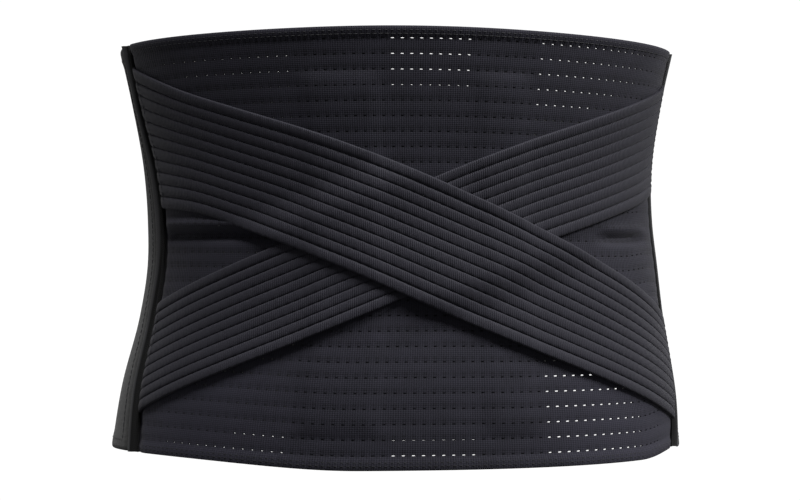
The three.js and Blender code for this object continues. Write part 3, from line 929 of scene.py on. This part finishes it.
def ribbed_elastic():
    """Elastic webbing with fine threads across its ribs."""
    cloth = Cloth("ribbed elastic", colour=(0.0135, 0.0130, 0.0185), roughness=0.68, sheen=0.03)
    threads = cloth.ripple(cloth.across, pitch=1.2)
    patches = cloth.noise(scale=0.08, detail=4.0, stretch=(1.0, 3.0, 1.0))
    cloth.tone(cloth.blend(threads, patches, share=0.5), dark=0.75, light=1.25)
    cloth.relief(threads, distance=0.25)
    return cloth.material


def rolled_piping():
    """Twill roll, with nearly black painted shade in the fold beside it."""
    cloth = Cloth("seam piping", colour=(0.028, 0.028, 0.030), roughness=0.75, sheen=0.03)
    twill = cloth.ripple(cloth.math("ADD", cloth.across, cloth.up), pitch=1.1)
    # Painted shade: nearly black in the fold and up the roll's near wall, reaching higher towards the
    # lower hem
    low_down = cloth.math("MAXIMUM", cloth.math("MULTIPLY_ADD", cloth.up, -1 / SHADE_TOP, 1.0), 0.0)
    painted_shade_to = cloth.math("MULTIPLY_ADD", low_down, SHADE_RISE, FOLD_SHARE * PIPING_WIDTH)
    on_roll = cloth.math("MULTIPLY", cloth.math("SUBTRACT", cloth.across, painted_shade_to), SHADE_STEEPNESS)
    twill_tone = cloth.math("MULTIPLY_ADD", twill, TWILL_CHANGE, 1 - TWILL_CHANGE)
    cloth.tone(cloth.math("MINIMUM", on_roll, twill_tone), dark=0.1, light=1.2)
    cloth.relief(twill, distance=0.15)
    return cloth.material


def brushed_knit():
    """Soft cloth with a short uneven pile."""
    cloth = Cloth("brushed knit", colour=(0.032, 0.032, 0.0322), roughness=0.95, sheen=0.06)
    pile = cloth.noise(scale=1.4, detail=5.0)
    tufts = cloth.noise(scale=0.45, detail=2.0)
    cloth.tone(cloth.blend(pile, tufts, share=0.6), dark=0.1, light=1.9)
    cloth.relief(cloth.blend(pile, tufts, share=0.5), distance=0.6)
    return cloth.material


def plain_lining():
    """Plain weave of the pockets and the pad."""
    cloth = Cloth("plain lining", colour=(0.010, 0.010, 0.0115), roughness=0.85, sheen=0.02)
    weave = cloth.checks(pitch=0.9)
    cloth.tone(weave, dark=0.8, light=1.2)
    cloth.relief(weave, distance=0.2)
    return cloth.material


def hook_tape():
    """Tape with rows of small hooks."""
    cloth = Cloth("hook tape", colour=(0.010, 0.010, 0.011), roughness=0.6, sheen=0.02)
    hooks = cloth.checks(pitch=1.6)
    cloth.tone(hooks, dark=0.7, light=1.3)
    cloth.relief(hooks, distance=0.5)
    return cloth.material


def sewing_thread():
    """Thread with a light and dark twist."""
    cloth = Cloth("sewing thread", colour=(0.016, 0.016, 0.018), roughness=0.6, sheen=0.02)
    cloth.tone(cloth.ripple(cloth.across, pitch=3.0), dark=0.8, light=1.2)
    return cloth.material


# Pieces of the brace

def place_piece(piece, slot, *nodes):
    """Every piece rides on the one body and may stand for solids, which are hidden; the slot is not
    used.
    """
    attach(piece, "root")
    if nodes:
        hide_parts(*nodes)
    return piece


def dress():
    """Make and place every piece."""
    mesh, ribbed, rolled = knitted_mesh(), ribbed_elastic(), rolled_piping()
    brushed, lining, hooks, thread = brushed_knit(), plain_lining(), hook_tape(), sewing_thread()

    panel = place_piece(perforated_panel(mesh), "perforated_elastic", "back_panel")
    under = strap("ribbed_strap_under", UNDER_EDGES, UNDER_WIDTH, UNDER_RIBS, UNDER_LOOSE, ribbed)
    over = strap("ribbed_strap_over", OVER_EDGES, OVER_WIDTH, OVER_RIBS, OVER_LOOSE, ribbed, over=True)
    place_piece(under, "ribbed_elastic", "cross_strap_under")
    place_piece(over, "ribbed_elastic", "cross_strap_over")
    panel_thread = place_piece(panel_sewing(thread), "perforated_elastic")
    strap_thread = place_piece(strap_sewing(thread), "ribbed_elastic")
    place_piece(inner_sewing(thread), "lining")

    wings = {}
    for side, name in ((LEFT, "left"), (RIGHT, "right")):
        place_piece(seam_piping(f"{name}_piping", side, rolled), "seam_piping", f"{name}_seam_piping")
        wings[side] = wing(f"{name}_brushed_wing", side, brushed)
        place_piece(wings[side], "brushed_knit", f"{name}_wing")
        wing_thread = place_piece(wing_sewing(f"{name}_wing_stitching", side, thread), "brushed_knit")
        pocket = stay_pocket(f"{name}_pocket", side, lining)
        place_piece(pocket, "lining", f"{name}_stay_pocket")

    patch = place_piece(closure_patch("hook_patch", hooks), "hook_tape", "closure_patch")
    pad = place_piece(lumbar_pad("spine_pad", lining), "lining", "lumbar_pad")


# Light and camera

def area_light(name, place, target, size, power):
    """Round soft lamp turned to its target."""
    data = bpy.data.lights.new(name, "AREA")
    data.shape = "DISK"
    data.size = size
    data.energy = power
    lamp = bpy.data.objects.new(name, data)
    lamp.location = place
    aim = np.array(target) - np.array(place)
    tilt = math.atan2(math.hypot(aim[0], aim[1]), -aim[2])
    lamp.rotation_euler = (tilt, 0, math.atan2(-aim[0], aim[1]))
    bpy.context.scene.collection.objects.link(lamp)


def studio_sky():
    """White round the horizon, dimmer above and below it, bright overhead, dim on the camera's side."""
    world = bpy.data.worlds.new("studio")
    bpy.context.scene.world = world
    world.use_nodes = True
    sky = Nodes(world.node_tree)
    ground = sky.nodes["Background"]
    ground.inputs["Strength"].default_value = SKY_STRENGTH
    place = sky.nodes.new("ShaderNodeTexCoord")
    split = sky.nodes.new("ShaderNodeSeparateXYZ")
    sky.links.new(place.outputs["Generated"], split.inputs[0])
    shades = sky.nodes.new("ShaderNodeValToRGB")
    sky.links.new(sky.math("MULTIPLY_ADD", split.outputs["Z"], 0.5, 0.5), shades.inputs["Fac"])
    elements = shades.color_ramp.elements
    while len(elements) < len(SKY):
        elements.new(1.0)
    for element, (at, level) in zip(elements, SKY):
        element.position = at
        element.color = (level, level, level, 1)
    dimmed = sky.nodes.new("ShaderNodeVectorMath")
    dimmed.operation = "SCALE"
    sky.links.new(shades.outputs["Color"], dimmed.inputs[0])
    dimness = sky.slope(split.outputs["Y"], NEAR_FROM, NEAR_TO, start=NEAR_LEVEL)
    sky.links.new(dimness, dimmed.inputs["Scale"])
    sky.links.new(dimmed.outputs[0], ground.inputs["Color"])


def light():
    """Studio sky and two lamps."""
    studio_sky()
    area_light("overhead", place=(-0.1, -0.65, 1.9), target=(0, -0.1, 0.1), size=0.7, power=60)
    area_light("from the right", place=(1.35, -0.55, 1.35), target=(0, -0.05, 0.1), size=0.6, power=52)


def camera():
    """Camera level with the brace, turned as in the photograph."""
    data = bpy.data.cameras.new("camera")
    data.sensor_width = SENSOR
    data.lens = FOCAL_PIXELS * SENSOR / PICTURE_WIDTH
    made = bpy.data.objects.new("camera", data)
    angle = math.radians(VIEW_TURN)
    x = AXIS[0] + VIEW_DISTANCE * math.sin(angle) + VIEW_ASIDE * math.cos(angle)
    y = AXIS[1] - VIEW_DISTANCE * math.cos(angle) + VIEW_ASIDE * math.sin(angle)
    made.location = (x * MM, y * MM, VIEW_HEIGHT * MM)
    made.rotation_euler = (math.pi / 2, 0, angle)
    bpy.context.scene.collection.objects.link(made)
    bpy.context.scene.camera = made


dress()
light()
camera()
bpy.context.scene.view_settings.view_transform = "Standard"
